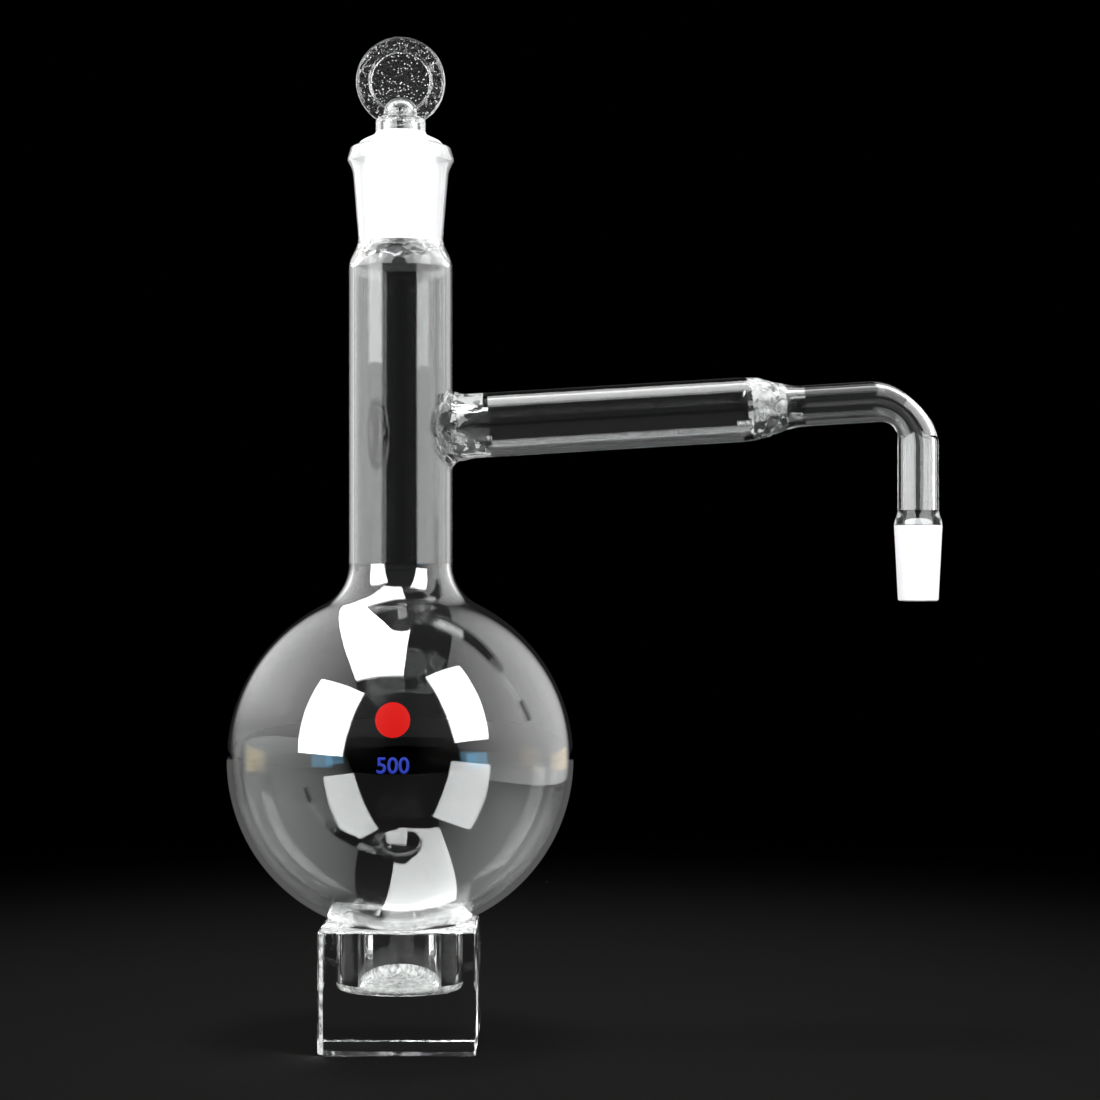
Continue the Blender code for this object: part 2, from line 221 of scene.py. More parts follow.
def ground_glass():
    """White from fine grinding, with a little light still coming through."""
    material, tree, shader = new_material("ground_glass")
    shader.inputs["Base Color"].default_value = (0.93, 0.94, 0.95, 1)
    shader.inputs["Roughness"].default_value = 0.55
    shader.inputs["IOR"].default_value = GLASS_IOR
    shader.inputs["Transmission Weight"].default_value = 0.35
    noise_bump(tree, shader, 2500, 0.6, 0.05 * MM)
    let_lamps_through(tree, shader, 0.6)
    return material


def fused_plane():
    """Where two pieces of glass are fused there is no surface, so light goes straight on."""
    material, tree, shader = new_material("fused_plane")
    tree.nodes.remove(shader)
    clear = add_node(tree, "ShaderNodeBsdfTransparent")
    tree.links.new(clear.outputs["BSDF"], tree.nodes["Material Output"].inputs["Surface"])
    return material


def acrylic():
    """Clear cast acrylic with polished, slightly wavy faces."""
    material, tree, shader = new_material("acrylic_clear")
    shader.inputs["Base Color"].default_value = (0.975, 0.985, 0.98, 1)
    shader.inputs["Roughness"].default_value = 0.01
    shader.inputs["IOR"].default_value = ACRYLIC_IOR
    shader.inputs["Transmission Weight"].default_value = 1.0
    noise_bump(tree, shader, 90, 0.6, 0.02 * MM)
    let_lamps_through(tree, shader, 0.95)
    return material


def patchy(tree, shader, grain, low, high, clearest, whitest):
    """Lets the noise pick where the surface is clear and where it is white: broken where acrylic was cut,
    and painted highlights on the weld glass.
    """
    patches = add_node(tree, "ShaderNodeMapRange")
    patches.inputs["From Min"].default_value = low
    patches.inputs["From Max"].default_value = high
    patches.inputs["To Min"].default_value = clearest
    patches.inputs["To Max"].default_value = whitest
    tree.links.new(grain, patches.inputs["Value"])
    tree.links.new(patches.outputs["Result"], shader.inputs["Transmission Weight"])


def broken_glass(name, ior, scale, depth, clearest, whitest, blocks=None):
    """A rough surface: sawn or milled acrylic, white where it was cut, or glass where a weld was worked,
    whose white blocks are painted highlights.

    With blocks, a scale, the white parts are whole blocks of about 1 / blocks metres: painted highlights
    for the light that the weld's lumpy glass bends.
    """
    material, tree, shader = new_material(name)
    shader.inputs["Base Color"].default_value = (0.93, 0.95, 0.94, 1)
    shader.inputs["Roughness"].default_value = 0.25
    shader.inputs["IOR"].default_value = ior
    grain = noise_bump(tree, shader, scale, 1.0, depth, detail=6.0)
    low, high = 0.4, 0.6
    if blocks:
        place = add_node(tree, "ShaderNodeTexCoord")
        grain = add_node(tree, "ShaderNodeTexNoise", Scale=blocks, Detail=1.5)
        tree.links.new(place.outputs["Object"], grain.inputs["Vector"])
        low, high = 0.44, 0.5
    patchy(tree, shader, grain.outputs["Fac"], low, high, clearest, whitest)
    let_lamps_through(tree, shader, 0.8)
    return material


def pressed_glass():
    """Glass from a press: a little dull, with small white grains."""
    material = clear_glass("pressed_glass", 900, 0.05 * MM, roughness=0.08)
    tree = material.node_tree
    shader = tree.nodes["Principled BSDF"]
    place = add_node(tree, "ShaderNodeTexCoord")
    grains = add_node(tree, "ShaderNodeTexVoronoi", Scale=1000)
    tree.links.new(place.outputs["Object"], grains.inputs["Vector"])
    patchy(tree, shader, grains.outputs["Distance"], 0.13, 0.2, 0.2, 1.0)
    return material


def enamel(name, colour):
    """Fired-on print, with fine speckles of a darker tone."""
    material, tree, shader = new_material(name)
    shader.inputs["Base Color"].default_value = (*colour, 1)
    shader.inputs["Roughness"].default_value = 0.35
    shader.inputs["Specular IOR Level"].default_value = 0.2
    speckle = noise_bump(tree, shader, 3000, 0.4, 0.03 * MM)
    ramp = add_node(tree, "ShaderNodeValToRGB")
    ramp.color_ramp.elements[0].color = (*[0.8 * c for c in colour], 1)
    ramp.color_ramp.elements[1].color = (*colour, 1)
    tree.links.new(speckle.outputs["Fac"], ramp.inputs["Fac"])
    tree.links.new(ramp.outputs["Color"], shader.inputs["Base Color"])
    return material


CLEAR = clear_glass("clear_glass")
GROUND = ground_glass()
FUSED = fused_plane()
ACRYLIC = acrylic()
MILLED = broken_glass("acrylic_milled", ACRYLIC_IOR, 500, 0.35 * MM, 0.75, 0.1)
RED = enamel("enamel_red", (0.75, 0.006, 0.003))
BLUE = enamel("enamel_blue", (0.03, 0.06, 0.55))
PRESSED = pressed_glass()
# The weld glass is clear and lumpy. Its white blocks are painted highlights for the light that the thick
# glass bends.
PAINTED_WELD_HIGHLIGHT = broken_glass("weld_glass_painted_highlight", GLASS_IOR, 420, 0.5 * MM, 0.95, 0.1, blocks=360)
GLASS_SLOTS = [CLEAR, GROUND, FUSED, PRESSED, PAINTED_WELD_HIGHLIGHT]
CLEAR_FACES, GROUND_FACES, FUSED_FACES, PRESSED_FACES, PAINTED_WELD_HIGHLIGHT_FACES = range(5)
BLOCK_SLOTS = [ACRYLIC, MILLED]
ACRYLIC_FACES, MILLED_FACES = range(2)

# ---------------------------------------------------------------- mesh helpers


def arc(centre, radius, start, end, steps):
    """Points along an arc between two angles in degrees, in (radius, distance)."""
    turns = [math.radians(start + (end - start) * i / steps) for i in range(steps + 1)]
    return [(centre[0] + radius * math.cos(a), centre[1] + radius * math.sin(a)) for a in turns]


def ease(start, end, steps):
    """Points of an S-shaped shoulder from start to end, in (radius, distance)."""
    shares = [i / steps for i in range(steps + 1)]
    return [
        (
            start[0] + (end[0] - start[0]) * (1 - math.cos(math.pi * t)) / 2,
            start[1] + (end[1] - start[1]) * t,
        )
        for t in shares
    ]


def ramp_points(start, end, steps):
    """Points of a straight line from start to end."""
    return [tuple(a + (b - a) * i / steps for a, b in zip(start, end)) for i in range(steps + 1)]


def upright_ring(radius, z, count=NECK_COUNT):
    """A ring round the neck's axis. A radius of nothing is a single point."""
    if radius < 0.001 * MM:
        return [Vector((0, 0, z))]
    turns = [2 * math.pi * i / count for i in range(count)]
    return [Vector((radius * math.cos(a), radius * math.sin(a), z)) for a in turns]


BEND_ANGLE = math.pi / 2 + ARM_RISE
BEND_START = DELIVERY_X / math.cos(ARM_RISE) - BEND_RADIUS * math.tan(BEND_ANGLE / 2)
BEND_LENGTH = BEND_RADIUS * BEND_ANGLE
BEND_END_Z = ARM_Z + DELIVERY_X * math.tan(ARM_RISE) - BEND_RADIUS * math.tan(BEND_ANGLE / 2)
ROUTE_LENGTH = BEND_START + BEND_LENGTH + BEND_END_Z - CONE_END_Z
CONE_FLARE = ROUTE_LENGTH - (CONE_FLARE_Z - CONE_END_Z)


def route(distance):
    """The side arm's centre line: the point, direction and upper side at a distance from the neck."""
    angle = ARM_RISE - min(max((distance - BEND_START) / BEND_RADIUS, 0), BEND_ANGLE)
    direction = Vector((math.cos(angle), 0, math.sin(angle)))
    side = Vector((-math.sin(angle), 0, math.cos(angle)))
    straight = Vector((math.cos(ARM_RISE), 0, math.sin(ARM_RISE)))
    start = Vector((0, 0, ARM_Z))
    if distance <= BEND_START:
        return start + distance * straight, direction, side
    first_side = Vector((-math.sin(ARM_RISE), 0, math.cos(ARM_RISE)))
    centre = start + BEND_START * straight - BEND_RADIUS * first_side
    past = max(distance - BEND_START - BEND_LENGTH, 0)
    return centre + BEND_RADIUS * side + past * direction, direction, side


def arm_ring(radius, distance, count=ARM_COUNT):
    """A ring round the side arm's centre line. The tube was bent by hand, so its bend is oval."""
    point, _, side = route(distance)
    along_bend = min(max((distance - BEND_START) / BEND_LENGTH, 0), 1)
    squeeze = 1 - BEND_FLATTENING * math.sin(math.pi * along_bend) ** 2
    turns = [2 * math.pi * i / count for i in range(count)]
    return [point + radius * (squeeze * math.cos(a) * side + math.sin(a) * ACROSS) for a in turns]


def quads(ring, other):
    """The faces between two closed rows with as many points."""
    count = len(ring)
    pairs = [(n, (n + 1) % count) for n in range(count)]
    return [(ring[n], ring[m], other[m], other[n]) for n, m in pairs]


def band(faces, slots, first, second, slot, starts):
    """Quads, or a fan of triangles, between two rings."""
    a, b = starts[first], starts[second]
    na, nb = starts[first + 1] - a, starts[second + 1] - b
    count = max(na, nb)
    for i in range(count):
        j = (i + 1) % count
        if na == 1:
            faces.append((a, b + j, b + i))
        elif nb == 1:
            faces.append((a + i, a + j, b))
        else:
            faces.append((a + i, a + j, b + j, b + i))
        slots.append(slot)


def skin(name, rings, slot_of_band, looped, materials=None):
    """A closed surface over a row of rings. looped joins the last ring to the first."""
    starts = [0]
    for ring in rings:
        starts.append(starts[-1] + len(ring))
    faces, slots = [], []
    for i in range(len(rings) - 1):
        band(faces, slots, i, i + 1, slot_of_band[i], starts)
    if looped:
        faces += quads(range(starts[-2], starts[-1]), range(starts[1]))
        slots += [slot_of_band[len(rings) - 1]] * starts[1]
    points = [p for ring in rings for p in ring]
    return mesh_object(name, points, faces, slots, materials or GLASS_SLOTS)


def mesh_object(name, points, faces, slots, materials):
    """A piece from points and faces, with the place of each face's material in materials."""
    mesh = bpy.data.meshes.new(name)
    mesh.from_pydata(points, [], faces)
    for material in materials:
        mesh.materials.append(material)
    mesh.polygons.foreach_set("material_index", slots)
    return finish_mesh(name, mesh)


def finish_mesh(name, mesh):
    """Welds points that fall together, turns all faces outwards and keeps only real edges sharp."""
    bm = bmesh.new()
    bm.from_mesh(mesh)
    bmesh.ops.remove_doubles(bm, verts=bm.verts, dist=0.0005 * MM)
    bmesh.ops.recalc_face_normals(bm, faces=bm.faces)
    bm.to_mesh(mesh)
    bm.free()
    mesh.shade_smooth()
    mesh.set_sharp_from_angle(angle=SHARP_ANGLE)
    obj = bpy.data.objects.new(name, mesh)
    bpy.context.scene.collection.objects.link(obj)
    return obj


def wall(name, ring, outer, inner, outer_slot=CLEAR_FACES):
    """A tube wall with both ends fused to the next piece: the outer skin, then the inner one back."""
    rings = [ring(r, d) for r, d in outer] + [ring(r, d) for r, d in reversed(inner)]
    slots = [outer_slot] * (len(outer) - 1) + [FUSED_FACES]
    slots += [CLEAR_FACES] * (len(inner) - 1) + [FUSED_FACES]
    return skin(name, rings, slots, looped=True)


def shaped_mesh(obj):
    """The object's mesh with its modifiers applied, or a text's as a mesh."""
    shaped = obj.evaluated_get(bpy.context.evaluated_depsgraph_get())
    return bpy.data.meshes.new_from_object(shaped)


def combine(obj, other, operation):
    """Joins the other solid to the object, or cuts it out of it, and removes the other."""
    boolean = obj.modifiers.new("Combine", "BOOLEAN")
    boolean.operation = operation
    boolean.solver = "EXACT"
    boolean.object = other
    mesh = shaped_mesh(obj)
    obj.modifiers.clear()
    obj.data = mesh
    bpy.data.objects.remove(other)
    return mesh


def settle(piece, body, slot, *nodes):
    """Puts a piece on its body in place of its CAD nodes; the finish that it is given, slot, is not used.
    """
    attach(piece, body)
    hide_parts(*nodes)


def weld_lumps(point, outward, height, size):
    """Soft lumps, as on glass that was melted and let run."""
    return point + outward * height * noise.noise(point / size)


def blown_lumps(point, outward, height, size):
    """Rounded blocks with steps between them, as where thick glass was melted and pushed together."""
    block = noise.voronoi(point / size)[1][0]
    step = noise.noise(block * 7.3)
    return point + outward * height * (0.7 * step + 0.5 * noise.noise(point / size * 1.6))


# ---------------------------------------------------------------- flask glass


def make_bulb():
    """The ball and the fillet to the neck. Returns the height where the neck's tube begins."""
    fillet_r = NECK_RADIUS + SHOULDER_FILLET
    fillet_rise = math.sqrt((BULB_RADIUS + SHOULDER_FILLET) ** 2 - fillet_r**2)
    lean = math.degrees(math.atan2(fillet_r, fillet_rise))

    def side(inset):
        ball = arc((0, BULB_Z), BULB_RADIUS - inset, -90, 90 - lean, 72)
        ball[0] = (0, ball[0][1])
        fillet = arc((fillet_r, BULB_Z + fillet_rise), SHOULDER_FILLET + inset, 270 - lean, 180, 20)
        return ball + fillet[1:]

    outer, inner = side(0), side(NECK_WALL)
    rings = [upright_ring(r, z) for r, z in outer + inner[::-1]]
    slots = [CLEAR_FACES] * (len(outer) - 1) + [FUSED_FACES] + [CLEAR_FACES] * (len(inner) - 1)
    piece = skin("bulb_glass", rings, slots, looped=False)
    settle(piece, "flask", "clear_glass", "bulb")
    return BULB_Z + fillet_rise


def make_socket():
    """The neck's shoulder, lumpy inside, and the socket with its ground taper and beaded lip."""
    neck_bore = NECK_RADIUS - NECK_WALL
    flare_z = LIP_Z - SOCKET_FLARE_DROP
    outer = ease((NECK_RADIUS, NECK_TOP_Z), (SOCKET_BASE_RADIUS, SOCKET_BASE_Z + SOCKET_STEP), 20)
    outer += ramp_points(outer.pop(), (SOCKET_FLARE_RADIUS, flare_z), 6)
    outer.append((SOCKET_FLARE_RADIUS + SOCKET_STEP_OUT, flare_z + SOCKET_STEP))
    outer += arc((LIP_RADIUS - LIP_BEAD, LIP_Z - LIP_BEAD_DROP), LIP_BEAD, -45, 25, 10)
    edge = (LIP_EDGE_RADIUS - LIP_EDGE_ROUNDING, LIP_Z - LIP_EDGE_ROUNDING)
    outer += arc(edge, LIP_EDGE_ROUNDING, 20, 90, 8)
    ground = [
        (SOCKET_TOP_RADIUS + MOUTH_CHAMFER, LIP_Z),
        (SOCKET_TOP_RADIUS - TAPER * MOUTH_CHAMFER, LIP_Z - MOUTH_CHAMFER),
        (SOCKET_TOP_RADIUS - TAPER * GROUND_LENGTH, SOCKET_BASE_Z),
    ]
    shoulder = ease(ground[-1], (neck_bore, NECK_TOP_Z), 30)[1:]
    slots = [CLEAR_FACES] * len(outer) + [GROUND_FACES] * (len(ground) - 1)
    slots += [CLEAR_FACES] * len(shoulder) + [FUSED_FACES]
    rings = [upright_ring(r, z) for r, z in outer + ground]
    lump_height, lump_size = 1.1 * MM, 4 * MM
    for i, (r, z) in enumerate(shoulder):
        height = lump_height * math.sin(math.pi * (i + 1) / len(shoulder))
        rings.append([blown_lumps(p, p.normalized(), height, lump_size) for p in upright_ring(r, z)])
    piece = skin("socket_glass", rings, slots, looped=True)
    settle(piece, "flask", "ground_glass", "neck_socket")


# The neck's wall has a window in its grid, filled by a patch that runs from the grid to the weld.
# Grid points go by column and row, and column 0 faces the side arm.
COLUMN_TURN = 2 * math.pi / NECK_COUNT
COLUMNS = range(-NECK_COUNT // 2, NECK_COUNT // 2)
WINDOW_COLUMNS = 24
WINDOW_ROWS = 48
WINDOW_HALF_HEIGHT = 20 * MM
PATCH_STEPS = 10
FLARE_STEPS = 20
FLARE_LUMP_SIZE = 2.6 * MM


def on_neck(radius, turn, z):
    """A point on the neck's cylinder. Turn 0 faces the side arm."""
    return Vector((radius * math.cos(turn), radius * math.sin(turn), z))


def row_z(row):
    """The height of a row of the window's grid."""
    low_z, high_z = ARM_Z - WINDOW_HALF_HEIGHT, ARM_Z + WINDOW_HALF_HEIGHT
    return low_z + (high_z - low_z) * row / WINDOW_ROWS


def window_border():
    """The grid points round the window, in order."""
    border = [(i, 0) for i in range(-WINDOW_COLUMNS, WINDOW_COLUMNS)]
    border += [(WINDOW_COLUMNS, j) for j in range(WINDOW_ROWS)]
    border += [(i, WINDOW_ROWS) for i in range(WINDOW_COLUMNS, -WINDOW_COLUMNS, -1)]
    return border + [(-WINDOW_COLUMNS, j) for j in range(WINDOW_ROWS, 0, -1)]


def neck_grid(radius, foot_z):
    """The neck's skin without the window: points, faces, the grid's points by key, and two end rings."""
    points, faces, grid = [], [], {}
    for j in range(WINDOW_ROWS + 1):
        for i in COLUMNS:
            inside = -WINDOW_COLUMNS < i < WINDOW_COLUMNS and 0 < j < WINDOW_ROWS
            if not inside:
                grid[i, j] = len(points)
                points.append(on_neck(radius, i * COLUMN_TURN, row_z(j)))
    for j in range(WINDOW_ROWS):
        for i in COLUMNS:
            if not -WINDOW_COLUMNS <= i < WINDOW_COLUMNS:
                k = i + 1 if i + 1 in COLUMNS else COLUMNS[0]
                faces.append((grid[i, j], grid[k, j], grid[k, j + 1], grid[i, j + 1]))
    ends = []
    for j, end_z in ((0, foot_z), (WINDOW_ROWS, NECK_TOP_Z)):
        end = range(len(points), len(points) + NECK_COUNT)
        points += [on_neck(radius, i * COLUMN_TURN, end_z) for i in COLUMNS]
        faces += quads([grid[i, j] for i in COLUMNS], end)
        ends.append(end)
    return points, faces, grid, ends


def weld_column(key, radius, arm_radius, footprint, low_extra, lumps):
    """Points from one on the window's border to the weld's foot, then up its flare to the side arm.

    The foot reaches footprint from the arm's axis, and low_extra further on its underside.
    """
    arm_end, direction, side = route(ARM_WELD_END)
    turn, z = key[0] * COLUMN_TURN, row_z(key[1])
    flat = Vector((radius * turn, z - ARM_Z))
    angle = math.atan2(flat.y, flat.x)
    reach = footprint + low_extra * (1 - math.sin(angle)) / 2
    y, rise = reach * math.cos(angle), reach * math.sin(angle)
    foot_turn, foot_height = math.asin(y / radius), ARM_Z + rise + radius * math.tan(ARM_RISE)
    column = []
    for k in range(PATCH_STEPS):
        share = (k + 1) / PATCH_STEPS
        p = on_neck(radius, turn + (foot_turn - turn) * share, z + (foot_height - z) * share)
        column.append(p)

    foot = on_neck(radius, foot_turn, foot_height)
    outward = Vector((math.cos(foot_turn), math.sin(foot_turn), 0))
    end = arm_end + arm_radius * (math.cos(angle) * ACROSS + math.sin(angle) * side)
    inward = (arm_end - foot) - (arm_end - foot).dot(outward) * outward
    inward.normalize()
    gap = (end - foot).dot(direction)
    foot_pull, arm_pull = 0.9, 0.75
    near_foot = foot + inward * (reach - arm_radius) * foot_pull
    near_arm = end - direction * gap * arm_pull
    for k in range(FLARE_STEPS):
        t = (k + 1) / FLARE_STEPS
        p = (1 - t) ** 3 * foot + 3 * (1 - t) ** 2 * t * near_foot
        p += 3 * (1 - t) * t**2 * near_arm + t**3 * end
        bulge = math.sin(math.pi * t) ** 0.5 if t < 1 else 0
        away = (p - arm_end) - (p - arm_end).dot(direction) * direction
        away.normalize()
        column.append(weld_lumps(p, away, lumps * bulge, FLARE_LUMP_SIZE))
    return column


def neck_skin(radius, foot_z, *weld):
    """One skin of the neck and of the side arm's weld: points, faces and the rings at its three ends."""
    points, faces, grid, ends = neck_grid(radius, foot_z)
    border = window_border()
    columns = [weld_column(key, radius, *weld) for key in border]
    loop = [grid[key] for key in border]
    for row in zip(*columns):
        next_loop = range(len(points), len(points) + len(row))
        points += row
        faces += quads(loop, next_loop)
        loop = next_loop
    return points, faces, ends + [loop]


def in_painted_weld_highlight(points):
    """Whether a face of the weld lies in the worked glass above or below the side arm's mouth, which gets
    painted white highlights.
    """
    length, clear_height, widening = 10 * MM, 0.8 * MM, 0.55
    middle = sum(points, Vector()) / len(points)
    height = abs(middle.z - ARM_Z - middle.x * math.tan(ARM_RISE))
    past_neck = middle.x - NECK_RADIUS
    return 0 < past_neck < length and height > clear_height + widening * past_neck


def make_neck(foot_z):
    """Neck tube and the weld of the side arm, as one wall with three fused ends."""
    bore = NECK_RADIUS - NECK_WALL
    arm_bore = ARM_RADIUS - ARM_WALL
    points, faces, rims = neck_skin(NECK_RADIUS, foot_z, ARM_RADIUS, 11.6 * MM, 2.2 * MM, 0.5 * MM)
    inner = neck_skin(bore, foot_z, arm_bore, 8.9 * MM, 0.6 * MM, 0.35 * MM)
    offset = len(points)
    points += inner[0]
    faces += [tuple(v + offset for v in face) for face in inner[1]]
    slots = [CLEAR_FACES] * len(faces)
    # Faces of the weld above and below the arm's mouth get white blocks, which are painted highlights.
    for n in range(len(faces) - len(window_border()) * FLARE_STEPS, len(faces)):
        if in_painted_weld_highlight([points[v] for v in faces[n]]):
            slots[n] = PAINTED_WELD_HIGHLIGHT_FACES
    for rim, inner_rim in zip(rims, inner[2]):
        faces += quads(rim, [v + offset for v in inner_rim])
        slots += [FUSED_FACES] * len(rim)
    piece = mesh_object("neck_glass", points, faces, slots, GLASS_SLOTS)
    settle(piece, "flask", "clear_glass", "neck_tube", "side_arm_weld")


def make_tube(name, node, radius, bore, start, end, steps):
    """A plain stretch of the side arm."""
    outer, inner = [ramp_points((r, start), (r, end), steps) for r in (radius, bore)]
    settle(wall(name, arm_ring, outer, inner), "flask", "clear_glass", node)


def make_reducer():
    """The shoulder of the wide tube, with the lumps of its weld and painted white highlights inside it.
    """
    bore = ARM_RADIUS - ARM_WALL
    outer = ease((ARM_RADIUS, ARM_SHOULDER), (DELIVERY_RADIUS, ARM_SHOULDER_END), 60)
    inner = ease((bore, ARM_SHOULDER), (DELIVERY_BORE, ARM_SHOULDER_END - REDUCER_THICKENING), 60)
    inner += ramp_points(inner.pop(), (DELIVERY_BORE, ARM_SHOULDER_END), 8)
    weld_middle, weld_half, painted_highlight_half = 112 * MM, 6.5 * MM, 5 * MM

    def ring(radius, distance, lumps, size):
        point, _, _ = route(distance)
        far = abs(distance - weld_middle) / weld_half
        height = lumps * (math.cos(math.pi * min(far, 1)) + 1) / 2
        return [
            blown_lumps(p, (p - point).normalized(), height, size)
            for p in arm_ring(radius, distance, 2 * ARM_COUNT)
        ]

    rings = [ring(r, d, 0.9 * MM, 4 * MM) for r, d in outer]
    rings += [ring(r, d, 3.4 * MM, 5 * MM) for r, d in reversed(inner)]
    slots = [CLEAR_FACES] * (len(outer) - 1) + [FUSED_FACES]
    # Inner faces near the weld's middle get white blocks, which are painted highlights.
    for _, distance in inner[:0:-1]:
        in_weld = abs(distance - weld_middle) < painted_highlight_half
        slots.append(PAINTED_WELD_HIGHLIGHT_FACES if in_weld else CLEAR_FACES)
    slots.append(FUSED_FACES)
    piece = skin("reducer_glass", rings, slots, looped=True)
    settle(piece, "flask", "clear_glass", "reducer_weld")


def make_cone():
    """The ground outlet cone. Its flare above the ground zone and its bore are clear."""
    top, tip = ROUTE_LENGTH - CONE_LENGTH, ROUTE_LENGTH - CONE_END_ROUNDING
    end_radius = CONE_RADIUS - TAPER * CONE_LENGTH
    outer = ease((DELIVERY_RADIUS, CONE_FLARE), (CONE_RADIUS, top), 14)
    ground = ramp_points((CONE_RADIUS, top), (end_radius, tip), 8)[1:]
    ground += arc((end_radius - CONE_END_ROUNDING, tip), CONE_END_ROUNDING, 0, 90, 4)[1:]
    bore = [(CONE_BORE + CONE_BORE_CHAMFER, ROUTE_LENGTH), (CONE_BORE, ROUTE_LENGTH - 0.4 * MM)]
    bore.append((DELIVERY_BORE, CONE_FLARE))
    profile = outer + ground + bore
    slots = [CLEAR_FACES] * (len(outer) - 1) + [GROUND_FACES] * (len(ground) + 2)
    slots += [CLEAR_FACES] * (len(profile) - len(slots) - 1) + [FUSED_FACES]
    rings = [arm_ring(r, d) for r, d in profile]
    piece = skin("outlet_cone_glass", rings, slots, looped=True)
    settle(piece, "flask", "ground_glass", "outlet_cone")


# ---------------------------------------------------------------- stopper

PLUG_TOP_Z = LIP_Z + PLUG_PROUD


def plug_radius(z):
    """The plug's radius, which leaves a thin gap to the socket's taper."""
    return SOCKET_TOP_RADIUS - TAPER * (LIP_Z - z) - PLUG_GAP


def make_plug():
    """The hollow ground plug with its rounded tip."""
    low, high = SOCKET_BASE_Z, PLUG_TOP_Z
    outer = ramp_points((plug_radius(low), low), (plug_radius(high), high), 8)
    inner = [(r - PLUG_WALL, z) for r, z in outer]
    piece = wall("stopper_plug_glass", upright_ring, outer, inner, GROUND_FACES)
    settle(piece, "stopper", "ground_glass", "stopper_plug")

    def dish(inset):
        reach = plug_radius(low) - inset
        return [
            (reach * math.sin(a), low - (PLUG_TIP_DEPTH - inset) * math.cos(a))
            for a in [math.pi / 2 * i / 16 for i in range(17)]
        ]

    outer, inner = dish(0), dish(PLUG_WALL)
    rings = [upright_ring(r, z) for r, z in outer + inner[::-1]]
    slots = [CLEAR_FACES] * (len(outer) - 1) + [FUSED_FACES] + [CLEAR_FACES] * (len(inner) - 1)
    tip = skin("stopper_tip_glass", rings, slots, looped=False)
    settle(tip, "stopper", "clear_glass", "stopper_tip")


def crown_side():
    """The crown's outer side from its foot to the top of its collar, and the dome above it."""
    neck_z = CROWN_FOOT_Z + CROWN_HEIGHT
    boss_z = neck_z + CROWN_NECK_HEIGHT
    dome_z = boss_z + CROWN_BOSS_RISE
    foot = [(plug_radius(PLUG_TOP_Z), PLUG_TOP_Z), (plug_radius(PLUG_TOP_Z), CROWN_FOOT_Z)]
    shoulder = ease((CROWN_FOOT_RADIUS, CROWN_FOOT_Z), (CROWN_NECK_RADIUS, neck_z), 10)
    rounding = CROWN_NECK_ROUNDING
    collar = arc((CROWN_NECK_RADIUS - rounding, boss_z - rounding), rounding, 0, 90, 8)
    dome = arc((0, dome_z), CROWN_BOSS_RADIUS, 0, 90, 16)
    dome[-1] = (0, dome[-1][1])
    return foot + shoulder, collar + [(CROWN_BOSS_RADIUS, boss_z)] + dome


def crown_hollow():
    """The hollow rises into the dome as an arch, so that the collar is thick."""
    radius = CROWN_BOSS_RADIUS - CROWN_WALL
    arch_foot_z = CROWN_FOOT_Z + CROWN_HEIGHT
    dome_z = arch_foot_z + CROWN_NECK_HEIGHT + CROWN_BOSS_RISE
    foot = (plug_radius(PLUG_TOP_Z) - CROWN_WALL, PLUG_TOP_Z)
    shoulder = ease(foot, (radius, arch_foot_z), 10)
    dome = arc((0, dome_z), radius, 0, 90, 12)
    dome[-1] = (0, dome[-1][1])
    return shoulder + dome


def pitted(point, outward, height, spacing, size):
    """Moves a point out by height where it is within size of one of the small grains in the glass."""
    nearest = noise.voronoi(point / spacing)[0][0] * spacing
    return point + outward * height * max(0, 1 - (nearest / size) ** 2)


def make_finger_disc():
    """A flat disc with a thick rim and a thinner web, both stippled by the press."""
    rim_half, web_half = DISC_THICKNESS / 2, DISC_WEB_THICKNESS / 2
    web_radius = DISC_RADIUS - DISC_RIM_WIDTH
    step, rounding = DISC_RIM_STEP, DISC_RIM_ROUNDING
    face = ramp_points((0, web_half), (web_radius - step / 2, web_half), 50)
    rise = ease((web_half, web_radius - step / 2), (rim_half, web_radius + step / 2), 8)[1:]
    face += [(r, t) for t, r in rise]
    face += ramp_points(face.pop(), (DISC_RADIUS - rounding, rim_half), 14)
    face += arc((DISC_RADIUS - rounding, rim_half - rounding), rounding, 90, 0, 10)[1:]

    pit = (0.06 * MM, 0.95 * MM, 0.3 * MM)
    rim_lump_height, rim_lump_size, rim_lump_depth = 0.16 * MM, 1.1 * MM, 0.12 * MM

    def stippled(r, z):
        """A ring of the disc. The rim is sunk by a little, so that its lumps stay within its size."""
        normal = Vector((0, 0, math.copysign(1, z)))
        points = upright_ring(r, z, DISC_COUNT)
        if r < web_radius:
            return [pitted(p, normal, *pit) for p in points]
        lumpy = [weld_lumps(p, -normal, rim_lump_height, rim_lump_size) for p in points]
        return [p - rim_lump_depth * normal for p in lumpy]

    outline = face + [(r, -z) for r, z in reversed(face)]
    rings = [stippled(r, z) for r, z in outline]
    disc = skin("finger_disc", rings, [PRESSED_FACES] * (len(rings) - 1), looped=False)
    disc.data.transform(Matrix.Translation((0, 0, DISC_Z)) @ Matrix.Rotation(math.pi / 2, 4, "X"))
    return disc


def make_stopper_head():
    """Crown and finger disc, pressed together while hot, so they are joined into one wall."""
    (side, head), hollow = crown_side(), crown_hollow()
    outer = side + head
    rings = [upright_ring(r, z) for r, z in outer[::-1] + hollow]
    slots = [PRESSED_FACES] * len(head) + [GROUND_FACES] * (len(side) - 1)
    slots += [FUSED_FACES] + [CLEAR_FACES] * (len(hollow) - 1)
    crown = skin("stopper_head_glass", rings, slots, looped=False)

    mesh = combine(crown, make_finger_disc(), "UNION")
    mesh.shade_smooth()
    mesh.set_sharp_from_angle(angle=SHARP_ANGLE)
    settle(crown, "stopper", "clear_glass", "stopper_crown", "stopper_disc")


# ---------------------------------------------------------------- block


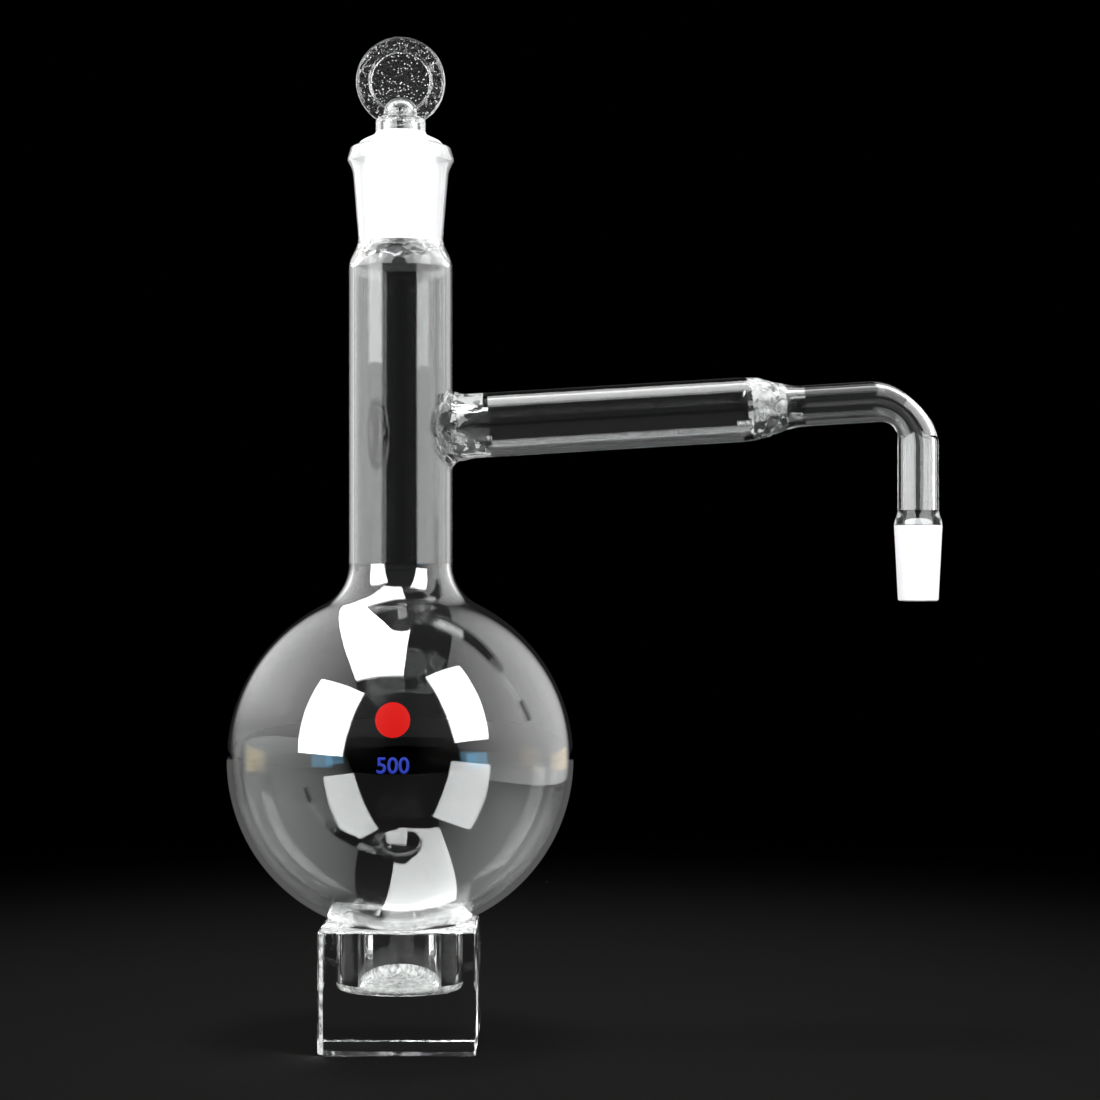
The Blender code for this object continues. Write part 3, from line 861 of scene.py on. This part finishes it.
def plain_block():
    """The square block with small bevels, and a wide broken edge at its front left."""
    bm = bmesh.new()
    bmesh.ops.create_cube(bm, size=1.0)
    bmesh.ops.scale(bm, vec=(BLOCK_SIDE, BLOCK_SIDE, BLOCK_HEIGHT), verts=bm.verts)
    front_left = [e for e in bm.edges if all(v.co.x < 0 and v.co.y < 0 for v in e.verts)]
    bmesh.ops.bevel(bm, geom=front_left, offset=BROKEN_EDGE, segments=1, affect="EDGES")
    edges = bm.edges[:]
    bmesh.ops.bevel(bm, geom=edges, offset=BLOCK_BEVEL, segments=4, profile=0.5, affect="EDGES")
    bmesh.ops.translate(bm, vec=(0, 0, BLOCK_HEIGHT / 2), verts=bm.verts)
    mesh = bpy.data.meshes.new("block_acrylic")
    bm.to_mesh(mesh)
    bm.free()
    for material in BLOCK_SLOTS:
        mesh.materials.append(material)
    block = bpy.data.objects.new("block_acrylic", mesh)
    bpy.context.scene.collection.objects.link(block)
    return block


def recess():
    """What is milled out of the block: clear wall, and milled corner and floor."""
    above = BLOCK_HEIGHT + 2 * MM
    rim_radius = RECESS_RADIUS + RECESS_RIM
    profile = [(0, above), (rim_radius, above), (rim_radius, BLOCK_HEIGHT)]
    profile += [(RECESS_RADIUS, BLOCK_HEIGHT - RECESS_RIM)]
    slots = [ACRYLIC_FACES] * len(profile)
    corner = (RECESS_RADIUS - RECESS_CORNER, RECESS_FLOOR_Z + RECESS_CORNER)
    profile += arc(corner, RECESS_CORNER, 0, -90, 12)
    profile += [(0, RECESS_FLOOR_Z)]
    slots += [MILLED_FACES] * (len(profile) - len(slots) - 1)
    rings = [upright_ring(r, z, RECESS_COUNT) for r, z in profile]
    return skin("recess", rings, slots, looped=False, materials=BLOCK_SLOTS)


def make_block():
    """The acrylic block: polished sides, sawn top, broken edge, and the recess."""
    block = plain_block()
    mesh = combine(block, recess(), "DIFFERENCE")
    for face in mesh.polygons:
        sawn_top = face.normal.z > 0.99 and face.center.z > BLOCK_HEIGHT - 0.1 * MM
        broken_edge = face.normal.x < -0.7 and face.normal.y < -0.7
        if sawn_top or broken_edge:
            face.material_index = MILLED_FACES
    mesh.shade_smooth()
    mesh.set_sharp_from_angle(angle=BLOCK_SHARP_ANGLE)
    settle(block, "stand", "acrylic", "stand_block")


# ---------------------------------------------------------------- print on the bulb

PRINT_LIFT = 0.04 * MM
PRINT_THICKNESS = 0.05 * MM
PRINT_LONGEST_EDGE = 0.8 * MM
PRINT_SPLITS = 4


def onto_bulb(x, height, lift):
    """A point on the front of the bulb, x and height being distances along its surface."""
    turn, rise = x / BULB_RADIUS, height / BULB_RADIUS
    r = BULB_RADIUS + lift
    return Vector(
        (
            r * math.cos(rise) * math.sin(turn),
            -r * math.cos(rise) * math.cos(turn),
            BULB_Z + r * math.sin(rise),
        )
    )


def wrap_print(name, flat_mesh, material, centre):
    """Lays a flat shape on the bulb as a thin film of enamel."""
    bm = bmesh.new()
    bm.from_mesh(flat_mesh)
    bmesh.ops.triangulate(bm, faces=bm.faces)
    for _ in range(PRINT_SPLITS):
        long_edges = [e for e in bm.edges if e.calc_length() > PRINT_LONGEST_EDGE]
        if long_edges:
            bmesh.ops.subdivide_edges(bm, edges=long_edges, cuts=1)
            bmesh.ops.triangulate(bm, faces=bm.faces)
    bmesh.ops.remove_doubles(bm, verts=bm.verts, dist=0.001 * MM)
    for vert in bm.verts:
        vert.co = onto_bulb(centre[0] + vert.co.x, centre[1] + vert.co.y, PRINT_LIFT)
    made = bmesh.ops.extrude_face_region(bm, geom=bm.faces[:])
    middle = Vector((0, 0, BULB_Z))
    for item in made["geom"]:
        if isinstance(item, bmesh.types.BMVert):
            item.co = middle + (item.co - middle) * (1 + PRINT_THICKNESS / BULB_RADIUS)
    bmesh.ops.recalc_face_normals(bm, faces=bm.faces)
    mesh = bpy.data.meshes.new(name)
    bm.to_mesh(mesh)
    bm.free()
    mesh.materials.append(material)
    obj = bpy.data.objects.new(name, mesh)
    bpy.context.scene.collection.objects.link(obj)
    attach(obj, "flask")


def make_print():
    """A red dot, and figures for the bulb's volume below it."""
    disc = bmesh.new()
    bmesh.ops.create_circle(disc, cap_ends=True, segments=64, radius=5.2 * MM)
    mesh = bpy.data.meshes.new("dot")
    disc.to_mesh(mesh)
    disc.free()
    wrap_print("red_dot", mesh, RED, (0.7 * MM, 15.5 * MM))

    curve = bpy.data.curves.new("figures", "FONT")
    curve.body = "500"
    curve.size = 6.4 * MM
    curve.offset = 0.12 * MM
    curve.align_x, curve.align_y = "CENTER", "CENTER"
    text = bpy.data.objects.new("figures", curve)
    bpy.context.scene.collection.objects.link(text)
    mesh = shaped_mesh(text)
    bpy.data.objects.remove(text)
    wrap_print("capacity_figures", mesh, BLUE, (0.8 * MM, 2.2 * MM))


# ---------------------------------------------------------------- camera, floor and light

CAMERA_RIGHT = 45.4 * MM
CAMERA_DISTANCE = 770 * MM
CAMERA_ABOVE_BULB = 63.57 * MM
CAMERA_LENS = 82.85
FLOOR_RADIUS = 1.6
FLOOR_DROP = 0.1 * MM


def make_camera():
    """Level and square to the flask, a little under half its height, as a product shot is taken."""
    data = bpy.data.cameras.new("camera")
    data.sensor_width = 36
    data.lens = CAMERA_LENS
    data.clip_start = 0.01
    camera = bpy.data.objects.new("camera", data)
    camera.location = (CAMERA_RIGHT, -CAMERA_DISTANCE, BULB_Z + CAMERA_ABOVE_BULB)
    camera.rotation_euler = (math.pi / 2, 0, 0)
    bpy.context.scene.collection.objects.link(camera)
    bpy.context.scene.camera = camera


def make_floor():
    """A plain pale matt floor. It has no gloss, which would mirror the lamps meant for the glass."""
    bm = bmesh.new()
    bmesh.ops.create_circle(bm, cap_ends=True, segments=96, radius=FLOOR_RADIUS)
    mesh = bpy.data.meshes.new("floor")
    bm.to_mesh(mesh)
    bm.free()
    material, tree, shader = new_material("pale_floor")
    shader.inputs["Base Color"].default_value = (0.8, 0.8, 0.79, 1)
    shader.inputs["Roughness"].default_value = 0.6
    shader.inputs["Specular IOR Level"].default_value = 0.0
    noise_bump(tree, shader, 800, 0.1, 0.05 * MM)
    mesh.materials.append(material)
    floor = bpy.data.objects.new("floor", mesh)
    floor.location = (0, 0, -FLOOR_DROP)
    bpy.context.scene.collection.objects.link(floor)
    return floor


def panel(name, centre, target, width, height, radiance):
    """A softbox: an even rectangle of light that faces the target."""
    away = Vector(centre) - Vector(target)
    data = bpy.data.lights.new(name, "AREA")
    data.shape = "RECTANGLE"
    data.size, data.size_y = width, height
    data.energy = radiance * width * height * math.pi
    lamp = bpy.data.objects.new(name, data)
    lamp.location = centre
    lamp.rotation_euler = away.to_track_quat("Z", "Y").to_euler()
    lamp.visible_camera = False
    bpy.context.scene.collection.objects.link(lamp)
    return lamp


def tinted(lamp, colour):
    """Colours a lamp's light."""
    lamp.data.color = colour
    return lamp


def mirrored_only(lamp):
    """The glass mirrors the lamp, but doesn't show it straight through from the far side."""
    lamp.data.use_nodes = True
    tree = lamp.data.node_tree
    path = add_node(tree, "ShaderNodeLightPath")
    once = add_node(tree, "ShaderNodeMath", operation="MINIMUM")
    once.inputs[1].default_value = 1
    tree.links.new(path.outputs["Glossy Depth"], once.inputs[0])
    tree.links.new(once.outputs[0], tree.nodes["Emission"].inputs["Strength"])
    return lamp


def unseen_through(lamp):
    """The lamp lights what is white or coloured, and isn't seen through it."""
    lamp.visible_transmission = False
    return lamp


def fading(lamp, spread):
    """Gives a lamp less light the more it is seen from its side."""
    lamp.data.spread = math.radians(spread)
    return lamp


def dimming_down(lamp, low, high):
    """Takes a lamp's light away smoothly between two shares of its height, downwards."""
    tree = lamp.data.node_tree
    place = add_node(tree, "ShaderNodeNewGeometry")
    split = add_node(tree, "ShaderNodeSeparateXYZ")
    ramp = add_node(tree, "ShaderNodeMapRange", interpolation_type="SMOOTHSTEP")
    ramp.inputs["From Min"].default_value = low
    ramp.inputs["From Max"].default_value = high
    strength = tree.nodes["Emission"].inputs["Strength"]
    seen = strength.links[0].from_socket
    both = add_node(tree, "ShaderNodeMath", operation="MULTIPLY")
    tree.links.new(place.outputs["Parametric"], split.inputs[0])
    tree.links.new(split.outputs["Y"], ramp.inputs["Value"])
    tree.links.new(ramp.outputs[0], both.inputs[0])
    tree.links.new(seen, both.inputs[1])
    tree.links.new(both.outputs[0], strength)
    return lamp


def side_panel(name, target, azimuth, elevation, distance, width, height, radiance):
    """A panel seen from the target at an azimuth turned from the camera's side towards +X."""
    a, e = math.radians(azimuth), math.radians(elevation)
    away = Vector((math.sin(a) * math.cos(e), -math.cos(a) * math.cos(e), math.sin(e)))
    return panel(name, Vector(target) + distance * away, target, width, height, radiance)


def shine_on(lamp, pieces, only=True):
    """Flags the lamp off from all other pieces, or with only=False from just these."""
    group = bpy.data.collections.new(lamp.name + "_pieces")
    for piece in pieces:
        group.objects.link(piece)
    if not only:
        for entry in group.collection_objects:
            entry.light_linking.link_state = "EXCLUDE"
    lamp.light_linking.receiver_collection = group


def make_floor_lamp(floor):
    """A soft pool of light for the floor alone, from a lamp that nothing mirrors or shows."""
    data = bpy.data.lights.new("floor_lamp", "SPOT")
    data.energy = 0.55
    data.spot_size = math.radians(60)
    data.spot_blend = 1.0
    data.shadow_soft_size = 0.1
    lamp = bpy.data.objects.new("floor_lamp", data)
    lamp.location = (0.03, -0.03, 0.9)
    lamp.visible_camera = lamp.visible_glossy = lamp.visible_transmission = False
    bpy.context.scene.collection.objects.link(lamp)
    shine_on(lamp, [floor])


def make_dark_world():
    """Black surroundings, against which clear glass shows its edges and what it mirrors."""
    world = bpy.data.worlds.new("world")
    world.use_nodes = True
    world.node_tree.nodes["Background"].inputs["Color"].default_value = (0, 0, 0, 1)
    bpy.context.scene.world = world


def make_lights(floor):
    """Softboxes for the glass to mirror, and soft light for what is white or coloured.

    Nearly all shine on a few pieces only, so that each part of the glass gets its own brightness.
    A side_panel's numbers are azimuth, elevation, distance, width, height and radiance.
    """
    pieces = bpy.data.objects
    bulb_middle = (0, 0, BULB_Z)
    middle = (0, 0, 130 * MM)
    high_on_neck = (0, 0, 215 * MM)
    outlet = (DELIVERY_X, 0, 150 * MM)
    bulb = [pieces["bulb_glass"]]
    neck = [pieces["neck_glass"]]
    arm = [pieces["side_arm_glass"]]
    reducer = [pieces["reducer_glass"]]
    delivery = [pieces["delivery_glass"]]
    head = [pieces["stopper_head_glass"]]
    socket = [pieces["socket_glass"]]
    inside = [pieces[n] for n in ("outlet_cone_glass", "stopper_plug_glass", "stopper_tip_glass")]
    matt = socket + inside
    print_pieces = [pieces["red_dot"], pieces["capacity_figures"]]
    block = [pieces["block_acrylic"]]

    for lamp in (
        side_panel("bulb_left", bulb_middle, -50, 26.5, 0.8, 0.48, 0.61, 28),
        side_panel("bulb_right", bulb_middle, 51, 36, 0.8, 0.36, 0.66, 28),
        panel("bulb_top", (-0.13, 0.2, 0.68), (-0.13, 0.2, 0), 0.34, 1.12, 24),
        tinted(side_panel("blue_left", bulb_middle, -48, 2, 0.8, 0.2, 0.1, 3), (0.15, 0.5, 0.8)),
        tinted(side_panel("blue_right", bulb_middle, 53, 2, 0.8, 0.2, 0.12, 4), (0.15, 0.5, 0.8)),
        tinted(side_panel("warm_left", bulb_middle, -105, -3, 0.8, 0.35, 0.16, 0.7), (1, 0.75, 0.3)),
        tinted(side_panel("warm_right", bulb_middle, 132, -8, 0.8, 0.35, 0.2, 0.7), (1, 0.75, 0.3)),
    ):
        shine_on(mirrored_only(lamp), bulb)
    shine_on(panel("arm_top", (0, 0.08, 0.8), (0, 0.08, 0), 0.7, 0.56, 5), arm + reducer)
    shine_on(panel("tube_top", (0.05, 0.03, 0.8), (0.05, 0.03, 0), 0.6, 0.66, 1.4), delivery + head)
    fills = (("front", 62, 0.83, 2.4, 3.2), ("side", 105, 0.83, 1.8, 2.4), ("back", 141, 0.58, 0.6, 0.6))
    hazes = ((-100, 28, 0.5, 1.6, 0.85, 1.08), (100, 20, 0.36, 1.15, 0.75, 1.15))
    for side, name, haze_place in zip((-1, 1), ("left", "right"), hazes):
        for place, azimuth, width, on_tubes, on_block in fills:
            spot = (middle, side * azimuth, 20, 1, width, 1.56)
            tube = side_panel(f"tube_{place}_{name}", *spot, on_tubes)
            shine_on(mirrored_only(tube), neck + reducer + head + socket)
            shine_on(mirrored_only(side_panel(f"stand_{place}_{name}", *spot, on_block)), block)
        haze = mirrored_only(fading(side_panel("haze_" + name, bulb_middle, *haze_place), 120))
        if name == "left":
            dimming_down(haze, 0.06, 0.5)
        shine_on(haze, bulb)
        beside_lip = ((0, 0, LIP_Z), side * 100, 10, 0.6, 1.2, 0.9)
        shine_on(side_panel("socket_side_" + name, *beside_lip, 2.4), socket)
        shine_on(side_panel("head_side_" + name, *beside_lip, 0.75), head)
        shine_on(mirrored_only(side_panel("leg_" + name, outlet, side * 72, 0, 1, 2.4, 0.5, 5)), delivery)
        for kind, radiance, group in (("matt", 6.2, matt + head), ("print", 2.9, print_pieces)):
            lamp = side_panel(f"{kind}_{name}", middle, side * 45, 25, 0.9, 0.9, 0.9, radiance)
            shine_on(unseen_through(lamp), group)
        shine_on(side_panel("block_" + name, middle, side * 50, 25, 0.9, 0.7, 0.7, 7), block)
    shine_on(mirrored_only(side_panel("bend_low", outlet, 90, 33, 1, 2.4, 0.66, 4.5)), delivery)
    shine_on(mirrored_only(side_panel("bend_high", outlet, 90, 66, 1, 2.4, 0.5, 2)), delivery)
    below = (("neck_below", 0.7, neck), ("arm_below", 0.1, arm + delivery), ("bulb_below", 0.09, bulb))
    for name, radiance, group in below:
        shine_on(mirrored_only(panel(name, (0, 0, 2 * MM), (0, 0, 1), 2, 2, radiance)), group)
    shine_on(panel("weld_lamp", (0.06, -0.35, 0.75), (0.06, 0, ARM_Z), 0.2, 0.2, 32), neck + reducer)
    shine_on(side_panel("neck_high", high_on_neck, -57, 21, 0.8, 0.5, 0.5, 4), neck)
    shine_on(panel("front_glow", (0.1, -1.2, 0.2), (0.1, 0, 0.2), 0.6, 0.6, 0.5), delivery + head)
    veil = panel("veil", (0.05, 1.3, 0.2), (0.05, 0, 0.2), 3, 2, 0.014)
    shine_on(veil, [floor], only=False)
    make_floor_lamp(floor)


def set_up_look():
    """Plain colours, and enough bounces for light to cross the many glass walls."""
    scene = bpy.context.scene
    scene.view_settings.view_transform = "Standard"
    scene.cycles.max_bounces = 24
    scene.cycles.transmission_bounces = 24
    scene.cycles.glossy_bounces = 8
    scene.cycles.transparent_max_bounces = 48
    scene.cycles.caustics_reflective = False
    scene.cycles.caustics_refractive = False


make_camera()
neck_foot_z = make_bulb()
make_neck(neck_foot_z)
make_socket()
make_tube(
    "side_arm_glass", "side_arm_tube", ARM_RADIUS, ARM_RADIUS - ARM_WALL, ARM_WELD_END, ARM_SHOULDER, 24
)
make_reducer()
make_tube(
    "delivery_glass", "delivery_tube", DELIVERY_RADIUS, DELIVERY_BORE, ARM_SHOULDER_END, CONE_FLARE, 72
)
make_cone()
make_plug()
make_stopper_head()
make_block()
make_print()
make_lights(make_floor())
make_dark_world()
set_up_look()
